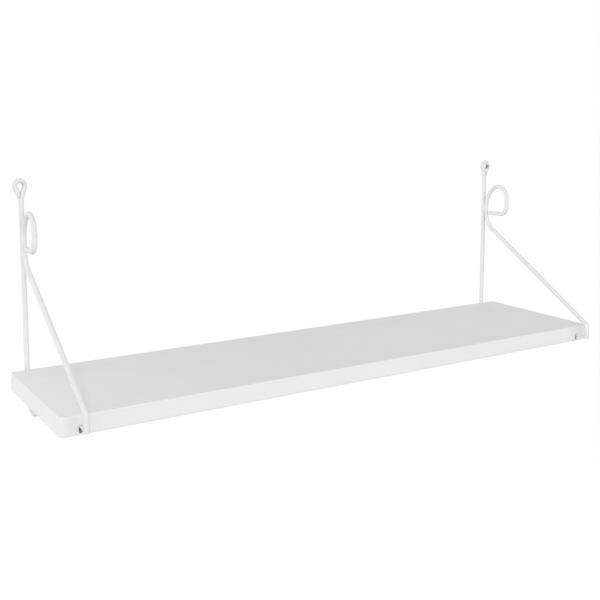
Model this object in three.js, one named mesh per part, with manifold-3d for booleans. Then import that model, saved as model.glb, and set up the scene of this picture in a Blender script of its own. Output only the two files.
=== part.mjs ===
// Wall shelf: one lacquered board carried by two brackets bent from round steel rod.
// Millimetres, +Z up. The origin is on the wall plane (y = 0), midway between the brackets
// and level with the top of the board. +X runs along the board, to the right as seen from
// the room, and +Y points into the wall.
import * as THREE from "three";
import { mergeVertices } from "three/addons/utils/BufferGeometryUtils.js";
import Module from "manifold-3d";

const wasm = await Module();
wasm.setup();

// ---- Driving dimensions ----

const CLEARANCE = 0.3; // left between two pieces that rest against each other

// Rod that both brackets are bent from.
const ROD_DIAMETER = 6.3;
const ROD_R = ROD_DIAMETER / 2;
const ROD_SIDES = 16;
const BEND_STEP_DEG = 10; // largest turn between two stations of a bend

// Board.
const BOARD_LENGTH = 800;
const BOARD_DEPTH = 200;
const BOARD_THICKNESS = 22;
const BOARD_CORNER_R = 6;
const BOARD_EDGE_R = 1.5;

// Brackets along the board: the side's name, and the sign of its place along X.
const BRACKET_X = 377.5;
const BRACKETS = [
  ["left", -1],
  ["right", 1],
];

// Wall rod: an eye at the top, a straight stem, and the hook under the board.
const WALL_ROD_Y = -ROD_R;
const EYE_TOP_Z = 237;
const EYE_R = 5.9; // to the rod's centreline
const EYE_STEM_LEAN_DEG = 16; // lean of the leg that the stem runs into, from the vertical
const EYE_END_LEAN_DEG = 24; // lean of the leg that ends the rod, on the outer side
const EYE_NECK_BEND_R = 14;
const EYE_END_GAP = 0.35; // between the eye's mitred end and the leg it closes on
const HOOK_BOTTOM_Z = -53.5;
const HOOK_R = 23; // to the rod's centreline
const HOOK_PLUG_DEPTH = 5.5; // length of the hook's end inside the board

// Brace rod: a curl, a run against the wall rod, the brace and a drop cut square.
const CURL_TOP_Z = 199.4;
const CURL_BOTTOM_Z = 148.7;
const CURL_WIDTH = 46; // between the centrelines of its two sides
const CURL_WALL_R = 38; // slack bend that leaves the wall rod
const CURL_WALL_DEG = 55; // turn of that slack bend
const CURL_CORNER_R = 13; // tight bend where the curl turns back level
const CURL_END_GAP = 4.7; // from the curl's free end to the run against the wall rod
const BRACE_TOP_Z = 134.7; // where the brace's line crosses the run
const BRACE_FOOT_Z = 5.5; // where the brace's line crosses the drop
const BRACE_TOP_BEND_R = 32;
const BRACE_FOOT_BEND_R = 7;
const DROP_STAND_OFF = 20; // from the board's front face to the drop's centreline
const DROP_END_Z = -14.4;

// Pin that stands on the drop and enters the board's front face.
const PIN_DIAMETER = 3.2;
const PIN_R = PIN_DIAMETER / 2;
const PIN_Z = DROP_END_Z + PIN_R; // flush with the drop's end
const PIN_DEPTH = 14; // length of the pin inside the board
const PIN_SIDES = 16;

// Cuts in the board: a tall slot for each pin to rise in, a round hole for each hook.
const SLOT_BOTTOM_Z = -20.2;
const HOLE_WIDTH = 7.3;
const CUT_SIDES = 24;
const CUT_EXTRA_DEPTH = 2; // beyond the end of the pin or the hook

// Weld beads in the two grooves between the wall rod and the brace rod.
const WELD_Z = 157.5;
const WELD_HALF_LENGTH = 6;
const WELD_HALF_WIDTH = 2.5;
const WELD_HALF_HEIGHT = 1.7;
const WELD_OFFSET = 2.6; // from the bracket's plane to the bead's centre

// ---- Derived places ----

const BOARD_BACK_Y = -ROD_DIAMETER - CLEARANCE;
const BOARD_FRONT_Y = BOARD_BACK_Y - BOARD_DEPTH;
const HOOK_CENTRE_Z = HOOK_BOTTOM_Z + ROD_R + HOOK_R;
const HOOK_FRONT_Y = WALL_ROD_Y - 2 * HOOK_R;
const RUN_Y = WALL_ROD_Y - ROD_DIAMETER - CLEARANCE;
const CURL_LEVEL_Z = CURL_BOTTOM_Z + ROD_R;
const DROP_Y = BOARD_FRONT_Y - DROP_STAND_OFF;

const AXIS_X = new THREE.Vector3(1, 0, 0);
const AXIS_Y = new THREE.Vector3(0, 1, 0);

// ---- Materials ----

function boardLacquer() {
  return new THREE.MeshStandardMaterial({ color: 0xf1f1ef, roughness: 0.5, metalness: 0 });
}

function rodCoating() {
  return new THREE.MeshStandardMaterial({ color: 0xe8e8e6, roughness: 0.42, metalness: 0 });
}

function weldCoating() {
  return new THREE.MeshStandardMaterial({ color: 0xe4e4e2, roughness: 0.55, metalness: 0 });
}

// ---- Solids ----

// A closed geometry as a manifold solid.
function solidOf(geometry) {
  const plain = geometry.clone();
  plain.deleteAttribute("normal");
  plain.deleteAttribute("uv");
  const merged = mergeVertices(plain, 1e-4);
  const mesh = new wasm.Mesh({
    numProp: 3,
    vertProperties: merged.attributes.position.array,
    triVerts: new Uint32Array(merged.index.array),
  });
  return new wasm.Manifold(mesh);
}

// A manifold solid as a geometry with flat normals.
function geometryOf(solid) {
  const mesh = solid.getMesh();
  const indexed = new THREE.BufferGeometry();
  indexed.setAttribute("position", new THREE.BufferAttribute(mesh.vertProperties, 3));
  indexed.setIndex(new THREE.BufferAttribute(mesh.triVerts, 1));
  const geometry = indexed.toNonIndexed();
  geometry.computeVertexNormals();
  return geometry;
}

function toRadians(degrees) {
  return THREE.MathUtils.degToRad(degrees);
}

// ---- Bent rod ----

// The centreline of a bent rod, laid by a heading that goes straight or turns round an axis.
// Each station is one step of the extrusion, so straights take one step and bends take several.
class RodPath extends THREE.Curve {
  constructor(start, heading) {
    super();
    this.stations = [{ point: start.clone(), tangent: heading.clone().normalize() }];
  }

  get steps() {
    return this.stations.length - 1;
  }

  get last() {
    return this.stations[this.steps];
  }

  straight(length) {
    const { point, tangent } = this.last;
    this.stations.push({
      point: point.clone().addScaledVector(tangent, length),
      tangent: tangent.clone(),
    });
    return this;
  }

  bend(axis, radius, degrees) {
    const { point, tangent } = this.last;
    const side = Math.sign(degrees);
    const toCentre = axis.clone().cross(tangent).multiplyScalar(side * radius);
    const centre = point.clone().add(toCentre);
    const count = Math.ceil(Math.abs(degrees) / BEND_STEP_DEG);
    for (let i = 1; i <= count; i += 1) {
      const angle = toRadians((degrees * i) / count);
      const spoke = toCentre.clone().negate().applyAxisAngle(axis, angle);
      this.stations.push({
        point: centre.clone().add(spoke),
        tangent: tangent.clone().applyAxisAngle(axis, angle),
      });
    }
    return this;
  }

  getUtoTmapping(u) {
    return u;
  }

  getPoint(t, target = new THREE.Vector3()) {
    const place = t * this.steps;
    const index = Math.min(Math.floor(place), this.steps - 1);
    const from = this.stations[index].point;
    const to = this.stations[index + 1].point;
    return target.copy(from).lerp(to, place - index);
  }

  getTangent(t, target = new THREE.Vector3()) {
    return target.copy(this.stations[Math.round(t * this.steps)].tangent);
  }
}

function rodGeometry(path, radius = ROD_R) {
  const section = new THREE.Shape();
  section.absarc(0, 0, radius, 0, 2 * Math.PI);
  return new THREE.ExtrudeGeometry(section, {
    extrudePath: path,
    steps: path.steps,
    curveSegments: ROD_SIDES / 2,
  });
}

// Length of straight that a bend of this radius and turn takes from each side of its corner.
function cornerTake(radius, degrees) {
  return radius * Math.tan(toRadians(degrees) / 2);
}

// ---- Board ----

// A rounded rectangle, centred on the board, inset by the rounding of the edges.
function boardOutline() {
  const halfLength = BOARD_LENGTH / 2 - BOARD_EDGE_R;
  const halfDepth = BOARD_DEPTH / 2 - BOARD_EDGE_R;
  const r = BOARD_CORNER_R - BOARD_EDGE_R;
  const outline = new THREE.Shape();
  outline.absarc(halfLength - r, halfDepth - r, r, 0, Math.PI / 2);
  outline.absarc(r - halfLength, halfDepth - r, r, Math.PI / 2, Math.PI);
  outline.absarc(r - halfLength, r - halfDepth, r, Math.PI, 1.5 * Math.PI);
  outline.absarc(halfLength - r, r - halfDepth, r, 1.5 * Math.PI, 2 * Math.PI);
  return outline;
}

// The slot that a pin rises in, open at the board's front face only.
function pinSlot(x) {
  const r = PIN_R + CLEARANCE;
  const profile = new THREE.Shape();
  profile.absarc(0, PIN_Z, r, 0, Math.PI);
  profile.absarc(0, SLOT_BOTTOM_Z + r, r, Math.PI, 2 * Math.PI);
  const depth = PIN_DEPTH + CUT_EXTRA_DEPTH;
  const slot = new THREE.ExtrudeGeometry(profile, {
    depth: depth + r,
    bevelEnabled: false,
    curveSegments: CUT_SIDES / 2,
  });
  slot.rotateX(Math.PI / 2);
  slot.translate(x, BOARD_FRONT_Y + depth, 0);
  return slot;
}

// The blind hole in the underside that a hook's end plugs into.
function hookHole(x) {
  const depth = HOOK_PLUG_DEPTH + CUT_EXTRA_DEPTH;
  const height = depth + HOLE_WIDTH;
  const hole = new THREE.CylinderGeometry(HOLE_WIDTH / 2, HOLE_WIDTH / 2, height, CUT_SIDES);
  hole.rotateX(Math.PI / 2);
  hole.translate(x, HOOK_FRONT_Y, -BOARD_THICKNESS + depth - height / 2);
  return hole;
}

function makeBoard() {
  const slab = new THREE.ExtrudeGeometry(boardOutline(), {
    depth: BOARD_THICKNESS - 2 * BOARD_EDGE_R,
    bevelThickness: BOARD_EDGE_R,
    bevelSize: BOARD_EDGE_R,
    bevelSegments: 4,
    curveSegments: 6,
  });
  const middleY = (BOARD_BACK_Y + BOARD_FRONT_Y) / 2;
  slab.translate(0, middleY, -BOARD_THICKNESS + BOARD_EDGE_R);
  let solid = solidOf(slab);
  for (const [, hand] of BRACKETS) {
    const x = hand * BRACKET_X;
    solid = solid.subtract(solidOf(pinSlot(x))).subtract(solidOf(hookHole(x)));
  }
  return geometryOf(solid);
}

// ---- Wall rod ----

// The eye's centre stands outward of the stem, where both legs' lines cross on the stem's axis.
const stemLean = toRadians(EYE_STEM_LEAN_DEG);
const endLean = toRadians(EYE_END_LEAN_DEG);
const legsSpread = Math.tan(stemLean) + Math.tan(endLean);
const crossDrop = (EYE_R * (1 / Math.cos(stemLean) + 1 / Math.cos(endLean))) / legsSpread;
const eyeCentreZ = EYE_TOP_Z - ROD_R - EYE_R;
const legsCrossZ = eyeCentreZ - crossDrop;
const eyeOffset = EYE_R / Math.cos(stemLean) - crossDrop * Math.tan(stemLean);

// The rod from its plug in the board to the first stretch of the eye's returning leg.
// hand is -1 or 1, the side of X on which the eye stands.
function wallRodPath(hand, returnLength) {
  const neckTake = cornerTake(EYE_NECK_BEND_R, EYE_STEM_LEAN_DEG);
  const plugTopZ = -BOARD_THICKNESS + HOOK_PLUG_DEPTH;
  const legHeight = crossDrop - EYE_R * Math.sin(stemLean);
  const start = new THREE.Vector3(0, HOOK_FRONT_Y, plugTopZ);
  return new RodPath(start, new THREE.Vector3(0, 0, -1))
    .straight(plugTopZ - HOOK_CENTRE_Z)
    .bend(AXIS_X, HOOK_R, 180)
    .straight(legsCrossZ - neckTake - HOOK_CENTRE_Z)
    .bend(AXIS_Y, EYE_NECK_BEND_R, -hand * EYE_STEM_LEAN_DEG)
    .straight(legHeight / Math.cos(stemLean) - neckTake)
    .bend(AXIS_Y, EYE_R, hand * (180 + EYE_STEM_LEAN_DEG + EYE_END_LEAN_DEG))
    .straight(returnLength);
}

// The returning leg's end, cut to a long mitre that lies along the other leg.
function mitredEnd(hand, fromLength) {
  const heading = new THREE.Vector3(-hand * Math.sin(endLean), 0, -Math.cos(endLean));
  const legTopX = eyeOffset + EYE_R * Math.cos(endLean);
  const legTopZ = eyeCentreZ - EYE_R * Math.sin(endLean);
  const start = new THREE.Vector3(hand * legTopX, WALL_ROD_Y, legTopZ);
  start.addScaledVector(heading, fromLength);
  const uncutLength = (legTopZ - legsCrossZ) / Math.cos(endLean) - fromLength;
  const path = new RodPath(start, heading).straight(uncutLength);
  const blockSize = 40;
  const block = new THREE.BoxGeometry(blockSize, blockSize, blockSize);
  block.translate(hand * (ROD_R + EYE_END_GAP - blockSize / 2), 0, 0);
  block.rotateY(-hand * stemLean);
  block.translate(0, WALL_ROD_Y, legsCrossZ);
  const hair = 0.01; // keeps this end's faces just inside those of the rod that it joins
  return solidOf(rodGeometry(path, ROD_R - hair)).subtract(solidOf(block));
}

function makeWallRod(hand) {
  const returnLength = 6;
  const overlap = 1.5;
  const rod = solidOf(rodGeometry(wallRodPath(hand, returnLength)));
  return geometryOf(rod.add(mitredEnd(hand, returnLength - overlap)));
}

// ---- Brace rod ----

function makeBraceRod() {
  const slope = Math.atan2(BRACE_TOP_Z - BRACE_FOOT_Z, RUN_Y - DROP_Y);
  const slopeDeg = THREE.MathUtils.radToDeg(slope);
  const fromVerticalDeg = 90 - slopeDeg;
  const topTake = cornerTake(BRACE_TOP_BEND_R, fromVerticalDeg);
  const footTake = cornerTake(BRACE_FOOT_BEND_R, fromVerticalDeg);

  // The curl's round top meets the slack bend that comes down to the run.
  const wallTurn = toRadians(CURL_WALL_DEG);
  const slackWidth = CURL_WALL_R * (1 - Math.cos(wallTurn));
  const roundR = (CURL_WIDTH - slackWidth) / (1 + Math.cos(wallTurn));
  const roundCentreZ = CURL_TOP_Z - ROD_R - roundR;
  const runTopZ = roundCentreZ - (CURL_WALL_R - roundR) * Math.sin(wallTurn);
  const freeEndY = RUN_Y - ROD_R - CURL_END_GAP;
  const levelLength = freeEndY - (RUN_Y - CURL_WIDTH + CURL_CORNER_R);

  const braceLength = (BRACE_TOP_Z - BRACE_FOOT_Z) / Math.sin(slope) - topTake - footTake;
  const start = new THREE.Vector3(0, freeEndY, CURL_LEVEL_Z);
  const path = new RodPath(start, new THREE.Vector3(0, -1, 0))
    .straight(levelLength)
    .bend(AXIS_X, CURL_CORNER_R, -90)
    .straight(roundCentreZ - CURL_LEVEL_Z - CURL_CORNER_R)
    .bend(AXIS_X, roundR, CURL_WALL_DEG - 180)
    .bend(AXIS_X, CURL_WALL_R, -CURL_WALL_DEG)
    .straight(runTopZ - BRACE_TOP_Z - topTake)
    .bend(AXIS_X, BRACE_TOP_BEND_R, -fromVerticalDeg)
    .straight(braceLength)
    .bend(AXIS_X, BRACE_FOOT_BEND_R, fromVerticalDeg)
    .straight(BRACE_FOOT_Z - footTake - DROP_END_Z);
  return rodGeometry(path);
}

// ---- Pieces welded to the rods ----

// An upright stretch of rod, thickened by the clearance that a welded piece keeps to it.
function weldedNeighbour(y, z) {
  const length = 40;
  const radius = ROD_R + CLEARANCE;
  const rod = new THREE.CylinderGeometry(radius, radius, length, 2 * ROD_SIDES);
  rod.rotateX(Math.PI / 2);
  rod.translate(0, y, z);
  return solidOf(rod);
}

// The pin, hollowed at its root to sit against the drop.
function makePin() {
  const length = DROP_STAND_OFF + PIN_DEPTH;
  const pin = new THREE.CylinderGeometry(PIN_R, PIN_R, length, PIN_SIDES);
  pin.translate(0, DROP_Y + length / 2, PIN_Z);
  return geometryOf(solidOf(pin).subtract(weldedNeighbour(DROP_Y, PIN_Z)));
}

// The bead that fills one groove between the two rods. side is 1 or -1 along X.
function makeWeld(side) {
  const bead = new THREE.SphereGeometry(1, 20, 14);
  bead.scale(WELD_HALF_HEIGHT, WELD_HALF_WIDTH, WELD_HALF_LENGTH);
  bead.translate(side * WELD_OFFSET, (WALL_ROD_Y + RUN_Y) / 2, WELD_Z);
  const solid = solidOf(bead)
    .subtract(weldedNeighbour(WALL_ROD_Y, WELD_Z))
    .subtract(weldedNeighbour(RUN_Y, WELD_Z));
  return geometryOf(solid);
}

// ---- Assembly ----

function namedMesh(name, geometry, material) {
  const mesh = new THREE.Mesh(geometry, material);
  mesh.name = name;
  return mesh;
}

// The two brackets are mirror images: each eye stands outward of its stem.
function makeBracket(side, hand) {
  const bracket = new THREE.Group();
  bracket.position.x = hand * BRACKET_X;
  bracket.add(
    namedMesh(`${side}_wall_rod`, makeWallRod(hand), rodCoating()),
    namedMesh(`${side}_brace_rod`, makeBraceRod(), rodCoating()),
    namedMesh(`${side}_front_pin`, makePin(), rodCoating()),
    namedMesh(`${side}_curl_weld_left`, makeWeld(-1), weldCoating()),
    namedMesh(`${side}_curl_weld_right`, makeWeld(1), weldCoating()),
  );
  return bracket;
}

const shelf = new THREE.Group();
shelf.add(namedMesh("shelf_board", makeBoard(), boardLacquer()));
for (const [side, hand] of BRACKETS) {
  shelf.add(makeBracket(side, hand));
}

export default shelf;
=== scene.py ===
"""Looks of a wall shelf: a lacquered board carried by two brackets bent from coated round rod.

Metres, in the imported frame: y = 0 is the wall plane, z = 0 the board's top face, +X to the right.
"""

import math

import bmesh
import bpy
from mathutils import Matrix, Vector


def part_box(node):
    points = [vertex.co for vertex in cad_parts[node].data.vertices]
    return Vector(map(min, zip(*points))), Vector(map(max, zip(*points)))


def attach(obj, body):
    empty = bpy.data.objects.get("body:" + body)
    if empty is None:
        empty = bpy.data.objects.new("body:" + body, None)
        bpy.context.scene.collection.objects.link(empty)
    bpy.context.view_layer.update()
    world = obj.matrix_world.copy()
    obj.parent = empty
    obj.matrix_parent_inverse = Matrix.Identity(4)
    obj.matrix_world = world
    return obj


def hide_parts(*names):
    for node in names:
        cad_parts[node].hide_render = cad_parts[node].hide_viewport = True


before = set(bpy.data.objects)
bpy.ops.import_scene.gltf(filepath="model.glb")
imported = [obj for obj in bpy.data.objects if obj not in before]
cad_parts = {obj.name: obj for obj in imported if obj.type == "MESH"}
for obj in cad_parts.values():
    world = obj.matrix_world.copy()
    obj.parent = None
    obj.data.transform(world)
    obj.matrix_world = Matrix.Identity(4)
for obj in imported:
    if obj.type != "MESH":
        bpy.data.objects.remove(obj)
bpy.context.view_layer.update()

MM = 0.001
SIDES = ("left", "right")
AXIS_X = Vector((1, 0, 0))
AXIS_Y = Vector((0, 1, 0))
AXIS_Z = Vector((0, 0, 1))

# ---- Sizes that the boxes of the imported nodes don't give ----

CLEARANCE = 0.3 * MM  # between pieces that rest against each other
ROD_R = 3.15 * MM

EYE_R = 5.9 * MM  # bend radii are to the rod's centreline
EYE_STEM_LEAN = math.radians(16)  # of the leg that the stem runs into, from the vertical
EYE_END_LEAN = math.radians(24)  # of the leg that ends the rod, on the outer side
EYE_NECK_BEND_R = 14 * MM
EYE_END_GAP = 0.35 * MM  # between the eye's mitred end and the leg it closes on
EYE_OFFSET = 1.2 * MM  # from the stem outward to the eye's centre
EYE_SHADE_REACH = 4.6 * MM  # of the spot of painted shade on the eye's inner side
EYE_SHADE_Y = 1.5 * MM  # from the rod's centreline towards the room
EYE_SHADE_SPOTS = {"left": (1.8 * MM, 0.33), "right": (-1.4 * MM, 0.88)}  # height from the eye's centre, and share of painted shade at the spot's middle
HOOK_R = 23 * MM
HOOK_PLUG_DEPTH = 5.5 * MM  # length of the hook's end inside the board

CURL_WIDTH = 46 * MM  # between the centrelines of its two sides
CURL_WALL_R = 38 * MM  # slack bend that leaves the wall rod
CURL_WALL_TURN = math.radians(55)
CURL_CORNER_R = 13 * MM  # tight bend where the curl turns back level
CURL_LEVEL_Z = 151.85 * MM
CURL_END_GAP = 4.7 * MM  # from the curl's free end to the run against the wall rod
BRACE_TOP_Z = 134.7 * MM  # where the brace's line crosses the run
BRACE_FOOT_Z = 5.5 * MM  # where the brace's line crosses the drop
BRACE_TOP_BEND_R = 32 * MM
BRACE_FOOT_BEND_R = 7 * MM

PIN_R = 1.6 * MM
PIN_DEPTH = 14 * MM  # length of the pin inside the board

BOARD_CORNER_R = 6 * MM
BOARD_EDGE_R = 1.5 * MM
SLOT_BOTTOM_Z = -20.2 * MM
HOLE_R = 3.65 * MM
CUT_EXTRA_DEPTH = 2 * MM  # beyond the end of the pin or the hook
CUT_CHAMFER = 0.3 * MM  # soft edge round each slot and hole

# ---- Fineness of the meshes ----

ROD_SIDES = 32
BEND_STEP = math.radians(3)
LEAST_BEND_STEPS = 4
STRAIGHT_STEP = 8 * MM
EYE_LEG_STEPS = 6  # along the leg that ends the eye
RIM_R = 0.45 * MM  # rounding of a rod's cut end
RIM_STEPS = 4
BEND_FLATTENING = 0.05  # how much a rod's section flattens in the tightest bends
ROD_SHARP_ANGLE = math.radians(50)  # edges sharper than this stay sharp
BOARD_SHARP_ANGLE = math.radians(32)

# ---- Places ----

board_low, board_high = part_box("shelf_board")


class Bracket:
    """Places of one bracket, read from the boxes of its two rods."""

    def __init__(self, side):
        wall_low, wall_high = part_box(f"{side}_wall_rod")
        brace_low, brace_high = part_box(f"{side}_brace_rod")
        self.side = side
        self.hand = -1 if side == "left" else 1  # sign of the outward direction along X
        self.x = (brace_low.x + brace_high.x) / 2
        self.wall_rod_y = wall_high.y - ROD_R
        self.eye_top_z = wall_high.z
        self.hook_centre_z = wall_low.z + ROD_R + HOOK_R
        self.hook_front_y = self.wall_rod_y - 2 * HOOK_R
        self.run_y = self.wall_rod_y - 2 * ROD_R - CLEARANCE
        self.curl_top_z = brace_high.z
        self.drop_y = brace_low.y + ROD_R
        self.drop_end_z = brace_low.z
        self.pin_z = self.drop_end_z + PIN_R


brackets = [Bracket(side) for side in SIDES]

# ---- Camera ----

CAMERA_AT = Vector((-0.6714, -1.1190, 0.3180))
CAMERA_YAW = math.radians(31.81)  # to the right of straight at the wall
CAMERA_DIP = math.radians(6.829)
CAMERA_SENSOR = 36
CAMERA_LENS = 54.80
CAMERA_SHIFT_Y = -0.1333
CAMERA_REACH = 200.0  # beyond the floor's far edge


def make_camera():
    data = bpy.data.cameras.new("view_camera")
    data.sensor_width = CAMERA_SENSOR
    data.lens = CAMERA_LENS
    data.shift_y = CAMERA_SHIFT_Y
    data.clip_end = CAMERA_REACH
    camera = bpy.data.objects.new("view_camera", data)
    camera.location = CAMERA_AT
    camera.rotation_euler = (math.pi / 2 - CAMERA_DIP, 0, -CAMERA_YAW)
    bpy.context.scene.collection.objects.link(camera)
    bpy.context.scene.camera = camera


make_camera()

# ---- Procedural materials ----

NOISE_LOW = 0.3  # a noise's values lie mostly between these two
NOISE_HIGH = 0.7
# Dark grey painted into the eyes as shade
EYE_SHADE_PAINT = (0.22, 0.22, 0.215, 1)
PAINTED_SHADE_CORE = 0.4  # share of a painted shade spot's reach that is evenly at its darkest
ROD_PEEL = 0.45  # strength of the orange peel
WELD_PEEL = 0.8


class Surface:
    """A Principled material built up layer by layer from noise in the object's own coordinates."""

    def __init__(self, name, ior):
        self.material = bpy.data.materials.new(name)
        self.material.use_nodes = True
        self.nodes = self.material.node_tree.nodes
        self.links = self.material.node_tree.links
        self.shader = self.nodes["Principled BSDF"]
        self.shader.inputs["IOR"].default_value = ior
        self.coordinates = self.nodes.new("ShaderNodeTexCoord").outputs["Object"]
        self.normal = None

    def noise(self, scale, detail=2.0, stretch=(1, 1, 1)):
        """Noise with features of about 1 / scale metres, longer along an axis of small stretch."""
        mapping = self.nodes.new("ShaderNodeMapping")
        mapping.inputs["Scale"].default_value = stretch
        self.links.new(self.coordinates, mapping.inputs["Vector"])
        noise = self.nodes.new("ShaderNodeTexNoise")
        noise.inputs["Scale"].default_value = scale
        noise.inputs["Detail"].default_value = detail
        self.links.new(mapping.outputs["Vector"], noise.inputs["Vector"])
        return noise.outputs["Fac"]

    def colour(self, low, high, height):
        """Base colour that wanders between two tones with the height."""
        ramp = self.nodes.new("ShaderNodeValToRGB")
        ramp.color_ramp.elements[0].position = NOISE_LOW
        ramp.color_ramp.elements[0].color = (*low, 1)
        ramp.color_ramp.elements[1].position = NOISE_HIGH
        ramp.color_ramp.elements[1].color = (*high, 1)
        self.links.new(height, ramp.inputs["Fac"])
        self.links.new(ramp.outputs["Color"], self.shader.inputs["Base Color"])

    def painted_shade_spot(self, at, reach, share):
        """Painted shade: dark grey mixed into the base colour round one place, by share at its middle.
        """
        away = self.nodes.new("ShaderNodeVectorMath")
        away.operation = "DISTANCE"
        away.inputs[1].default_value = at
        self.links.new(self.coordinates, away.inputs[0])
        fade = self.nodes.new("ShaderNodeMapRange")
        fade.interpolation_type = "SMOOTHSTEP"
        fade.inputs["From Min"].default_value = PAINTED_SHADE_CORE * reach
        fade.inputs["From Max"].default_value = reach
        fade.inputs["To Min"].default_value = share
        fade.inputs["To Max"].default_value = 0.0
        self.links.new(away.outputs["Value"], fade.inputs["Value"])
        mix = self.nodes.new("ShaderNodeMixRGB")
        mix.inputs["Color2"].default_value = EYE_SHADE_PAINT
        self.links.new(fade.outputs["Result"], mix.inputs["Fac"])
        base = self.shader.inputs["Base Color"]
        self.links.new(base.links[0].from_socket, mix.inputs["Color1"])
        self.links.new(mix.outputs["Color"], base)

    def roughness(self, low, high, height):
        """Roughness that wanders between two values with the height."""
        spread = self.nodes.new("ShaderNodeMapRange")
        spread.inputs["From Min"].default_value = NOISE_LOW
        spread.inputs["From Max"].default_value = NOISE_HIGH
        spread.inputs["To Min"].default_value = low
        spread.inputs["To Max"].default_value = high
        self.links.new(height, spread.inputs["Value"])
        self.links.new(spread.outputs["Result"], self.shader.inputs["Roughness"])

    def bump(self, distance, strength, height):
        """One more layer of relief, on top of the layers before it."""
        bump = self.nodes.new("ShaderNodeBump")
        bump.inputs["Distance"].default_value = distance
        bump.inputs["Strength"].default_value = strength
        self.links.new(height, bump.inputs["Height"])
        if self.normal is not None:
            self.links.new(self.normal, bump.inputs["Normal"])
        self.normal = bump.outputs["Normal"]
        self.links.new(self.normal, self.shader.inputs["Normal"])


def board_lacquer():
    """White foil lacquer: fine pearl grain, a faint long lay along the board, slow mottling."""
    surface = Surface("board_lacquer", ior=1.45)
    surface.colour((0.848, 0.852, 0.833), (0.868, 0.872, 0.855), surface.noise(22, 3))
    surface.roughness(0.46, 0.58, surface.noise(60, 3, stretch=(0.15, 1, 1)))
    surface.bump(0.30 * MM, 0.10, surface.noise(30, 2, stretch=(0.25, 1, 1)))
    surface.bump(0.03 * MM, 0.35, surface.noise(1400, 2))
    return surface.material


def cut_core():
    """Primed pressed fibre inside the slots and holes."""
    surface = Surface("cut_core", ior=1.4)
    surface.colour((0.70, 0.69, 0.67), (0.83, 0.82, 0.80), surface.noise(1900, 4))
    surface.roughness(0.82, 0.95, surface.noise(900))
    surface.bump(0.12 * MM, 0.7, surface.noise(2600, 4))
    return surface.material


def powder_coat(name, peel, painted_shade=None):
    """White powder coating: orange peel of about a millimetre over a slow swell.

    The last argument, if given, holds the place, reach and share of a spot of painted shade.
    """
    surface = Surface(name, ior=1.47)
    surface.colour((0.80, 0.80, 0.797), (0.84, 0.84, 0.836), surface.noise(90, 3))
    surface.roughness(0.38, 0.52, surface.noise(350))
    surface.bump(0.12 * MM, 0.25, surface.noise(160))
    surface.bump(0.05 * MM, peel, surface.noise(950, 3))
    # A spot of painted shade, where one is given.
    if painted_shade is not None:
        surface.painted_shade_spot(*painted_shade)
    return surface.material


def eye_coat_with_painted_shade(bracket):
    """The coat of a wall rod, with painted shade on the right inner side of its eye."""
    height, share = EYE_SHADE_SPOTS[bracket.side]
    spot = Vector((
        bracket.x + bracket.hand * EYE_OFFSET + EYE_R - ROD_R,
        bracket.wall_rod_y - EYE_SHADE_Y,
        bracket.eye_top_z - ROD_R - EYE_R + height,
    ))
    return powder_coat(f"rod_coating_{bracket.side}_eye", ROD_PEEL, (spot, EYE_SHADE_REACH, share))


LACQUER = board_lacquer()
CORE = cut_core()
BOARD_MATERIALS = [LACQUER, CORE]
ROD_COAT = powder_coat("rod_coating", ROD_PEEL)
WELD_COAT = powder_coat("weld_coating", WELD_PEEL)
# Each wall rod's coat carries painted shade in its eye, deeper on the right bracket.
EYE_COATS = {bracket.side: eye_coat_with_painted_shade(bracket) for bracket in brackets}

# ---- Mesh helpers ----


def mesh_object(name, verts, faces, materials):
    mesh = bpy.data.meshes.new(name)
    mesh.from_pydata([tuple(v) for v in verts], [], faces)
    for material in materials:
        mesh.materials.append(material)
    mesh.shade_smooth()
    mesh.update()
    piece = bpy.data.objects.new(name, mesh)
    bpy.context.scene.collection.objects.link(piece)
    return piece


def loft(rings):
    """Faces between closed rings of equal length, with a fan to the middle at both ends."""
    count = len(rings[0])
    verts = [point for ring in rings for point in ring]
    faces = []
    for r in range(len(rings) - 1):
        for i in range(count):
            j = (i + 1) % count
            low, high = r * count, (r + 1) * count
            faces.append((low + i, low + j, high + j, high + i))
    last = (len(rings) - 1) * count
    for ring_start, turned in ((0, True), (last, False)):
        middle = len(verts)
        verts.append(sum((verts[ring_start + i] for i in range(count)), Vector()) / count)
        for i in range(count):
            j = (i + 1) % count
            pair = (ring_start + j, ring_start + i) if turned else (ring_start + i, ring_start + j)
            faces.append((*pair, middle))
    return verts, faces


def place(piece, node):
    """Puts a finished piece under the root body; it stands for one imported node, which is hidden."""
    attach(piece, "root")
    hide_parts(node)


# ---- Bent rod ----


class RodPath:
    """The centreline of a bent rod, laid by a heading that goes straight or turns round an axis.

    The rod starts square to the X axis. Each station holds a point, the heading, two directions
    across the rod, how far its section is flattened in a bend, and the spoke of that bend.
    """

    def __init__(self, start, heading):
        side = AXIS_X.cross(heading)
        self.stations = [(start, heading, AXIS_X, side, 0.0, side)]

    def straight(self, length):
        point, heading, u, v, _, spoke = self.stations[-1]
        steps = max(1, round(length / STRAIGHT_STEP))
        for i in range(1, steps + 1):
            self.stations.append((point + heading * (length * i / steps), heading, u, v, 0.0, spoke))
        return self

    def bend(self, axis, radius, angle):
        point, heading, u, v, _, _ = self.stations[-1]
        to_centre = axis.cross(heading) * math.copysign(radius, angle)
        centre = point + to_centre
        steps = max(LEAST_BEND_STEPS, round(abs(angle) / BEND_STEP))
        most = BEND_FLATTENING * min(1, 2 * ROD_R / radius)
        for i in range(1, steps + 1):
            turn = Matrix.Rotation(angle * i / steps, 3, axis)
            flattening = most * math.sin(math.pi * i / steps) ** 0.5 if i < steps else 0.0
            spoke = (turn @ -to_centre).normalized()
            station = (centre + turn @ -to_centre, turn @ heading, turn @ u, turn @ v, flattening, spoke)
            self.stations.append(station)
        return self


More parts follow.
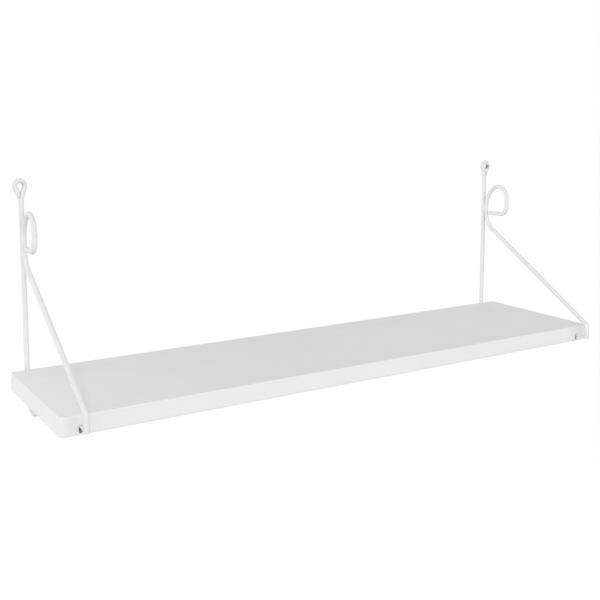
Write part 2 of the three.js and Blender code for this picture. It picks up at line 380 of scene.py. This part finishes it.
def section(station, radius, along=0.0):
    """One ring round the rod, moved along its heading."""
    point, heading, u, v, flattening, spoke = station
    ring = []
    for i in range(ROD_SIDES):
        turn = 2 * math.pi * i / ROD_SIDES
        out = (u * math.cos(turn) + v * math.sin(turn)) * radius
        out -= spoke * (out.dot(spoke) * flattening)
        ring.append(point + heading * along + out)
    return ring


def rounded_end(station, sign):
    """Rings from the full section to the rim of a cut end. sign is 1 at the path's end."""
    rings = []
    for k in range(1, RIM_STEPS + 1):
        turn = math.pi / 2 * k / RIM_STEPS
        radius = ROD_R - RIM_R * (1 - math.cos(turn))
        rings.append(section(station, radius, sign * RIM_R * (math.sin(turn) - 1)))
    return rings


def rod_rings(stations):
    """Rings of a rod whose first end is cut square and rounded. Its last end is left open."""
    start = stations[0]
    rings = rounded_end(start, -1)[::-1]
    rings.append(section(start, ROD_R, RIM_R))
    rings += [section(station, ROD_R) for station in stations[1:]]
    return rings


def corner_take(radius, angle):
    """Length of straight that a bend takes from each side of its corner."""
    return radius * math.tan(angle / 2)


def wall_rod_rings(bracket):
    """Hook under the board, stem along the wall, and an eye closed by a mitred end."""
    hand = bracket.hand
    spread = math.tan(EYE_STEM_LEAN) + math.tan(EYE_END_LEAN)
    cross_drop = EYE_R * (1 / math.cos(EYE_STEM_LEAN) + 1 / math.cos(EYE_END_LEAN)) / spread
    legs_cross_z = bracket.eye_top_z - ROD_R - EYE_R - cross_drop
    neck_take = corner_take(EYE_NECK_BEND_R, EYE_STEM_LEAN)
    leg_height = cross_drop - EYE_R * math.sin(EYE_STEM_LEAN)
    plug_top_z = board_low.z + HOOK_PLUG_DEPTH
    start = Vector((bracket.x, bracket.hook_front_y, plug_top_z))

    path = RodPath(start, -AXIS_Z)
    path.straight(plug_top_z - bracket.hook_centre_z)
    path.bend(AXIS_X, HOOK_R, math.pi)
    path.straight(legs_cross_z - neck_take - bracket.hook_centre_z)
    path.bend(AXIS_Y, EYE_NECK_BEND_R, -hand * EYE_STEM_LEAN)
    path.straight(leg_height / math.cos(EYE_STEM_LEAN) - neck_take)
    path.bend(AXIS_Y, EYE_R, hand * (math.pi + EYE_STEM_LEAN + EYE_END_LEAN))
    rings = rod_rings(path.stations)

    # The returning leg runs down to a plane that lies along the other leg.
    base = path.stations[-1]
    heading = base[1]
    away = Vector((hand * math.cos(EYE_STEM_LEAN), 0, math.sin(EYE_STEM_LEAN)))
    cross = Vector((bracket.x, bracket.wall_rod_y, legs_cross_z))
    closing = -heading.dot(away)

    def to_plane(point, spare):
        return ((point - cross).dot(away) - ROD_R - EYE_END_GAP) / closing - spare

    for k in range(1, EYE_LEG_STEPS + 1):
        ring = section(base, ROD_R)
        rings.append([p + heading * (to_plane(p, RIM_R) * k / EYE_LEG_STEPS) for p in ring])
    for k in range(1, RIM_STEPS + 1):
        turn = math.pi / 2 * k / RIM_STEPS
        ring = section(base, ROD_R - RIM_R * (1 - math.cos(turn)))
        spare = RIM_R * (1 - math.sin(turn))
        rings.append([p + heading * to_plane(p, spare) for p in ring])
    return rings


def brace_rod_rings(bracket):
    """Curl, run along the wall rod, sloping brace, and a drop cut square before the board."""
    slope = math.atan2(BRACE_TOP_Z - BRACE_FOOT_Z, bracket.run_y - bracket.drop_y)
    from_vertical = math.pi / 2 - slope
    top_take = corner_take(BRACE_TOP_BEND_R, from_vertical)
    foot_take = corner_take(BRACE_FOOT_BEND_R, from_vertical)

    # The curl's round top meets the slack bend that comes down to the run.
    slack_width = CURL_WALL_R * (1 - math.cos(CURL_WALL_TURN))
    round_r = (CURL_WIDTH - slack_width) / (1 + math.cos(CURL_WALL_TURN))
    round_centre_z = bracket.curl_top_z - ROD_R - round_r
    run_top_z = round_centre_z - (CURL_WALL_R - round_r) * math.sin(CURL_WALL_TURN)
    free_end_y = bracket.run_y - ROD_R - CURL_END_GAP
    level_length = free_end_y - (bracket.run_y - CURL_WIDTH + CURL_CORNER_R)
    brace_length = (BRACE_TOP_Z - BRACE_FOOT_Z) / math.sin(slope) - top_take - foot_take

    path = RodPath(Vector((bracket.x, free_end_y, CURL_LEVEL_Z)), -AXIS_Y)
    path.straight(level_length)
    path.bend(AXIS_X, CURL_CORNER_R, -math.pi / 2)
    path.straight(round_centre_z - CURL_LEVEL_Z - CURL_CORNER_R)
    path.bend(AXIS_X, round_r, CURL_WALL_TURN - math.pi)
    path.bend(AXIS_X, CURL_WALL_R, -CURL_WALL_TURN)
    path.straight(run_top_z - BRACE_TOP_Z - top_take)
    path.bend(AXIS_X, BRACE_TOP_BEND_R, -from_vertical)
    path.straight(brace_length)
    path.bend(AXIS_X, BRACE_FOOT_BEND_R, from_vertical)
    path.straight(BRACE_FOOT_Z - foot_take - bracket.drop_end_z)
    end = path.stations[-1]
    rings = rod_rings(path.stations[:-1])
    rings.append(section(end, ROD_R, -RIM_R))
    return rings + rounded_end(end, 1)


def make_rods(bracket):
    rods = (
        ("wall_rod", wall_rod_rings(bracket), EYE_COATS[bracket.side]),
        ("brace_rod", brace_rod_rings(bracket), ROD_COAT),
    )
    for part, rings, coat in rods:
        verts, faces = loft(rings)
        piece = mesh_object(f"{bracket.side}_bent_{part}", verts, faces, [coat])
        piece.data.set_sharp_from_angle(angle=ROD_SHARP_ANGLE)
        place(piece, f"{bracket.side}_{part}")


# ---- Front pins ----

PIN_SIDES = 28
PIN_RIM_R = 0.5 * MM
FILLET_R = 0.55 * MM  # of the weld round the pin's root
FILLET_STEPS = 5


def pin_ring(bracket, radius, y):
    """One ring of the pin. y is a place, or a function of the sideways offset from its axis."""
    ring = []
    for i in range(PIN_SIDES):
        turn = 2 * math.pi * i / PIN_SIDES
        aside = radius * math.cos(turn)
        place_y = y(aside) if callable(y) else y
        ring.append(Vector((bracket.x + aside, place_y, bracket.pin_z + radius * math.sin(turn))))
    return ring


def make_pin(bracket):
    """The pin welded to the drop, with a small fillet round its root and a rounded tip."""

    def off_drop(gap):
        return lambda aside: bracket.drop_y + math.sqrt((ROD_R + gap) ** 2 - aside**2)

    rings = []
    for k in range(FILLET_STEPS + 1):
        turn = math.pi / 2 * k / FILLET_STEPS
        radius = PIN_R + FILLET_R * (1 - math.sin(turn))
        gap = CLEARANCE + FILLET_R * (1 - math.cos(turn))
        rings.append(pin_ring(bracket, radius, off_drop(gap)))
    tip_y = board_low.y + PIN_DEPTH
    straight_from = bracket.drop_y + ROD_R + 2 * FILLET_R
    rings.append(pin_ring(bracket, PIN_R, straight_from))
    rings.append(pin_ring(bracket, PIN_R, board_low.y))
    for k in range(RIM_STEPS + 1):
        turn = math.pi / 2 * k / RIM_STEPS
        radius = PIN_R - PIN_RIM_R * (1 - math.cos(turn))
        rings.append(pin_ring(bracket, radius, tip_y + PIN_RIM_R * (math.sin(turn) - 1)))
    verts, faces = loft([ring[::-1] for ring in rings])
    piece = mesh_object(f"{bracket.side}_welded_pin", verts, faces, [ROD_COAT])
    piece.data.set_sharp_from_angle(angle=ROD_SHARP_ANGLE)
    place(piece, f"{bracket.side}_front_pin")


# ---- Weld beads ----

WELD_RIPPLE = 1.9 * MM  # from one ripple of the bead to the next
WELD_RIPPLE_DEPTH = 0.07  # as a share of the bead's height
WELD_RIPPLE_BOW = 0.5  # how far the ripples bow towards the start of the bead, in ripples
WELD_EDGE_INSET = 0.9 * MM  # from each rod's centreline to the bead's edge
WELD_ROOT_OFFSET = 2.0 * MM  # from the bracket's plane to the bead's root
WELD_STEPS = 72
WELD_SIDES = 24


def make_weld(bracket, groove):
    """One bead in a groove between the two rods, laid upwards in overlapping ripples."""
    node = f"{bracket.side}_curl_weld_{groove}"
    low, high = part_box(node)
    centre = (low + high) / 2
    out = -1 if groove == "left" else 1
    half_length = (high.z - low.z) / 2
    half_width = (bracket.wall_rod_y - bracket.run_y) / 2 - WELD_EDGE_INSET
    root_x = bracket.x + out * WELD_ROOT_OFFSET
    height = abs((low.x if out < 0 else high.x) - root_x)
    rings = []
    for s in range(1, WELD_STEPS):
        share = 2 * s / WELD_STEPS - 1
        z = centre.z + share * half_length
        swell = (1 - abs(share) ** 3) ** 0.5
        ring = []
        for i in range(WELD_SIDES):
            turn = 2 * math.pi * i / WELD_SIDES
            sideways = math.cos(turn)
            bow = WELD_RIPPLE_BOW * sideways * sideways
            phase = 2 * math.pi * ((z - low.z) / WELD_RIPPLE + bow)
            ripple = 1 - WELD_RIPPLE_DEPTH * (0.5 + 0.5 * math.cos(phase))
            x = root_x + out * height * swell * ripple * math.sin(turn)
            ring.append(Vector((x, centre.y + half_width * swell * sideways, z)))
        rings.append(ring if out < 0 else ring[::-1])
    verts, faces = loft(rings)
    piece = mesh_object(f"{bracket.side}_weld_bead_{groove}", verts, faces, [WELD_COAT])
    place(piece, node)


# ---- Board ----

CORNER_STEPS = 12
EDGE_STEPS = 6
CUT_STEPS = 20
CUT_SPARE = 4 * MM  # how far a cutter stands out of the board
FLAT_FACE_WEIGHT = 100  # the largest that the modifier takes


def board_ring(inset, z):
    """The board's rounded outline, pulled in by inset, at one height."""
    ring = []
    r = BOARD_CORNER_R - inset
    corners = (
        (board_high.x, board_high.y, 0),
        (board_low.x, board_high.y, 1),
        (board_low.x, board_low.y, 2),
        (board_high.x, board_low.y, 3),
    )
    middle = (board_low + board_high) / 2
    for x, y, quarter in corners:
        centre_x = x + math.copysign(BOARD_CORNER_R, middle.x - x)
        centre_y = y + math.copysign(BOARD_CORNER_R, middle.y - y)
        for k in range(CORNER_STEPS + 1):
            turn = math.pi / 2 * (quarter + k / CORNER_STEPS)
            ring.append(Vector((centre_x + r * math.cos(turn), centre_y + r * math.sin(turn), z)))
    return ring


def board_slab():
    """The board with rounded edges, before its cuts."""
    rings = []
    for edge_z, sign in ((board_low.z, 1), (board_high.z, -1)):
        edge = []
        for k in range(EDGE_STEPS + 1):
            turn = math.pi / 2 * k / EDGE_STEPS
            inset = BOARD_EDGE_R * (1 - math.sin(turn))
            edge.append(board_ring(inset, edge_z + sign * BOARD_EDGE_R * (1 - math.cos(turn))))
        rings += edge if sign > 0 else edge[::-1]
    count = len(rings[0])
    verts = [point for ring in rings for point in ring]
    faces = [tuple(reversed(range(count)))]
    for r in range(len(rings) - 1):
        for i in range(count):
            j = (i + 1) % count
            faces.append((r * count + i, r * count + j, (r + 1) * count + j, (r + 1) * count + i))
    faces.append(tuple(range(len(verts) - count, len(verts))))
    return mesh_object("lacquered_board", verts, faces, BOARD_MATERIALS)


def slot_profile(bracket, grow):
    """A slot's tall section in x and z, widened by grow all round."""
    base_r = PIN_R + CLEARANCE
    r = base_r + grow
    ends = ((bracket.pin_z, 0.0), (SLOT_BOTTOM_Z + base_r, math.pi))
    profile = []
    for centre_z, first_turn in ends:
        for k in range(CUT_STEPS + 1):
            turn = first_turn + math.pi * k / CUT_STEPS
            profile.append((r * math.cos(turn), centre_z + r * math.sin(turn)))
    return profile


def slot_cutter(bracket):
    """The slot that a pin rises in, with a soft edge at the board's front face."""
    inner_y = board_low.y + PIN_DEPTH + CUT_EXTRA_DEPTH
    stations = (
        (inner_y, 0.0),
        (board_low.y + CUT_CHAMFER, 0.0),
        (board_low.y, CUT_CHAMFER),
        (board_low.y - CUT_SPARE, CUT_CHAMFER),
    )
    rings = []
    for y, grow in stations:
        rings.append([Vector((bracket.x + px, y, pz)) for px, pz in slot_profile(bracket, grow)])
    return rings


def hole_cutter(x, y):
    """The blind hole in the underside that a hook's end plugs into."""
    top_z = board_low.z + HOOK_PLUG_DEPTH + CUT_EXTRA_DEPTH
    stations = (
        (board_low.z - CUT_SPARE, HOLE_R + CUT_CHAMFER),
        (board_low.z, HOLE_R + CUT_CHAMFER),
        (board_low.z + CUT_CHAMFER, HOLE_R),
        (top_z, HOLE_R),
    )
    turns = [math.pi * k / CUT_STEPS for k in range(2 * CUT_STEPS)]
    rings = []
    for z, radius in stations:
        rings.append([Vector((x + radius * math.cos(t), y + radius * math.sin(t), z)) for t in turns])
    return rings


def cut(board, rings):
    """Takes a lofted solid out of the board. The cut faces show the board's core."""
    verts, faces = loft(rings)
    cutter = mesh_object("cutter", verts, faces, BOARD_MATERIALS)
    mesh = bmesh.new()
    mesh.from_mesh(cutter.data)
    bmesh.ops.recalc_face_normals(mesh, faces=mesh.faces)
    for face in mesh.faces:
        face.material_index = BOARD_MATERIALS.index(CORE)
    mesh.to_mesh(cutter.data)
    mesh.free()
    boolean = board.modifiers.new("cut", "BOOLEAN")
    boolean.operation = "DIFFERENCE"
    boolean.solver = "EXACT"
    boolean.object = cutter
    apply_modifiers(board)
    bpy.data.objects.remove(cutter)


def apply_modifiers(piece):
    evaluated = piece.evaluated_get(bpy.context.evaluated_depsgraph_get())
    mesh = bpy.data.meshes.new_from_object(evaluated)
    piece.modifiers.clear()
    piece.data = mesh


def make_board():
    board = board_slab()
    for bracket in brackets:
        cut(board, slot_cutter(bracket))
        cut(board, hole_cutter(bracket.x, bracket.hook_front_y))
    board.data.set_sharp_from_angle(angle=BOARD_SHARP_ANGLE)
    weighted = board.modifiers.new("flat_faces_lead", "WEIGHTED_NORMAL")
    weighted.keep_sharp = True
    weighted.weight = FLAT_FACE_WEIGHT
    apply_modifiers(board)
    place(board, "shelf_board")


make_board()
for bracket in brackets:
    make_rods(bracket)
    make_pin(bracket)
    for groove in SIDES:
        make_weld(bracket, groove)

# ---- Studio ----

FLOOR_DROP = 1.4  # the shelf hangs at chest height
FLOOR_HALF = 60.0
FLOOR_COLOUR = (0.9, 0.9, 0.9, 1.0)
FLOOR_ROUGHNESS = 0.9
FLOOR_GLOW = 0.36
WHITE = (1.0, 1.0, 1.0, 1.0)
LOBES = (  # the side that each soft light comes from, and its brightness there
    ((-1, 0, 0), 1.18),
    ((1, 0, 0), 0.7),
    ((0, -1, 0), 0.49),
    ((0, 1, 0), 0.88),
    ((0, 0, 1), 0.28),
)
KEY_AT = (-0.1, -2.3, 0.45)
KEY_WIDTH = 2.8
KEY_HEIGHT = 1.6
KEY_BRIGHTNESS = 1.57
SPOT_AT = (-1.1, 0.0, 1.5)
SPOT_POOL_R = 0.77  # of the lit round at z = 0
SPOT_WATTS = 22.0
SPOT_BLEND = 0.06
SPOT_LAMP_R = 0.25


def make_floor():
    """A plain pale floor, bright enough to run into the white behind it."""
    z = board_low.z - FLOOR_DROP
    corners = [(-1, -1), (1, -1), (1, 1), (-1, 1)]
    verts = [Vector((x * FLOOR_HALF, y * FLOOR_HALF, z)) for x, y in corners]
    material = bpy.data.materials.new("pale_floor")
    material.use_nodes = True
    shader = material.node_tree.nodes["Principled BSDF"]
    shader.inputs["Base Color"].default_value = FLOOR_COLOUR
    shader.inputs["Roughness"].default_value = FLOOR_ROUGHNESS
    shader.inputs["Emission Color"].default_value = WHITE
    shader.inputs["Emission Strength"].default_value = FLOOR_GLOW
    floor = mesh_object("floor", verts, [(0, 1, 2, 3)], [material])
    for ray in ("diffuse", "glossy", "transmission", "shadow"):
        setattr(floor, f"visible_{ray}", False)


def make_world():
    """White behind the shelf, and a broad soft light on it from each side."""
    world = bpy.data.worlds.new("studio")
    world.use_nodes = True
    nodes, links = world.node_tree.nodes, world.node_tree.links
    nodes.clear()
    direction = nodes.new("ShaderNodeTexCoord").outputs["Generated"]
    strength = None
    for towards, brightness in LOBES:
        dot = nodes.new("ShaderNodeVectorMath")
        dot.operation = "DOT_PRODUCT"
        dot.inputs[1].default_value = towards
        links.new(direction, dot.inputs[0])
        facing = nodes.new("ShaderNodeMath")
        facing.operation = "MAXIMUM"
        facing.inputs[1].default_value = 0.0
        links.new(dot.outputs["Value"], facing.inputs[0])
        total = nodes.new("ShaderNodeMath")
        total.operation = "MULTIPLY_ADD"
        total.inputs[1].default_value = brightness
        total.inputs[2].default_value = 0.0
        links.new(facing.outputs["Value"], total.inputs[0])
        if strength is not None:
            links.new(strength, total.inputs[2])
        strength = total.outputs["Value"]
    light = nodes.new("ShaderNodeBackground")
    links.new(strength, light.inputs["Strength"])
    seen = nodes.new("ShaderNodeBackground")
    seen.inputs["Color"].default_value = WHITE
    rays = nodes.new("ShaderNodeLightPath")
    mix = nodes.new("ShaderNodeMixShader")
    links.new(rays.outputs["Is Camera Ray"], mix.inputs["Fac"])
    links.new(light.outputs["Background"], mix.inputs[1])
    links.new(seen.outputs["Background"], mix.inputs[2])
    output = nodes.new("ShaderNodeOutputWorld")
    links.new(mix.outputs["Shader"], output.inputs["Surface"])
    bpy.context.scene.world = world


def make_softbox(name, at, towards, width, height, brightness):
    """A soft rectangular light. brightness is its radiance, where 1 is the white background's."""
    data = bpy.data.lights.new(name, "AREA")
    data.shape = "RECTANGLE"
    data.size = width
    data.size_y = height
    data.energy = brightness * math.pi * width * height
    lamp = bpy.data.objects.new(name, data)
    lamp.location = at
    lamp.rotation_euler = (Vector(towards) - Vector(at)).to_track_quat("-Z", "Y").to_euler()
    lamp.visible_camera = False
    bpy.context.scene.collection.objects.link(lamp)


def make_spot(name, at, pool_radius, watts):
    """A lamp that shines straight down on a soft-edged round at z = 0."""
    data = bpy.data.lights.new(name, "SPOT")
    data.energy = watts
    data.spot_size = 2 * math.atan2(pool_radius, at[2])
    data.spot_blend = SPOT_BLEND
    data.shadow_soft_size = SPOT_LAMP_R
    lamp = bpy.data.objects.new(name, data)
    lamp.location = at
    bpy.context.scene.collection.objects.link(lamp)


def make_studio():
    make_floor()
    make_world()
    middle = (board_low + board_high) / 2
    make_softbox("key_softbox", KEY_AT, middle, KEY_WIDTH, KEY_HEIGHT, KEY_BRIGHTNESS)
    make_spot("corner_spot", SPOT_AT, SPOT_POOL_R, SPOT_WATTS)
    bpy.context.scene.view_settings.view_transform = "Standard"


make_studio()
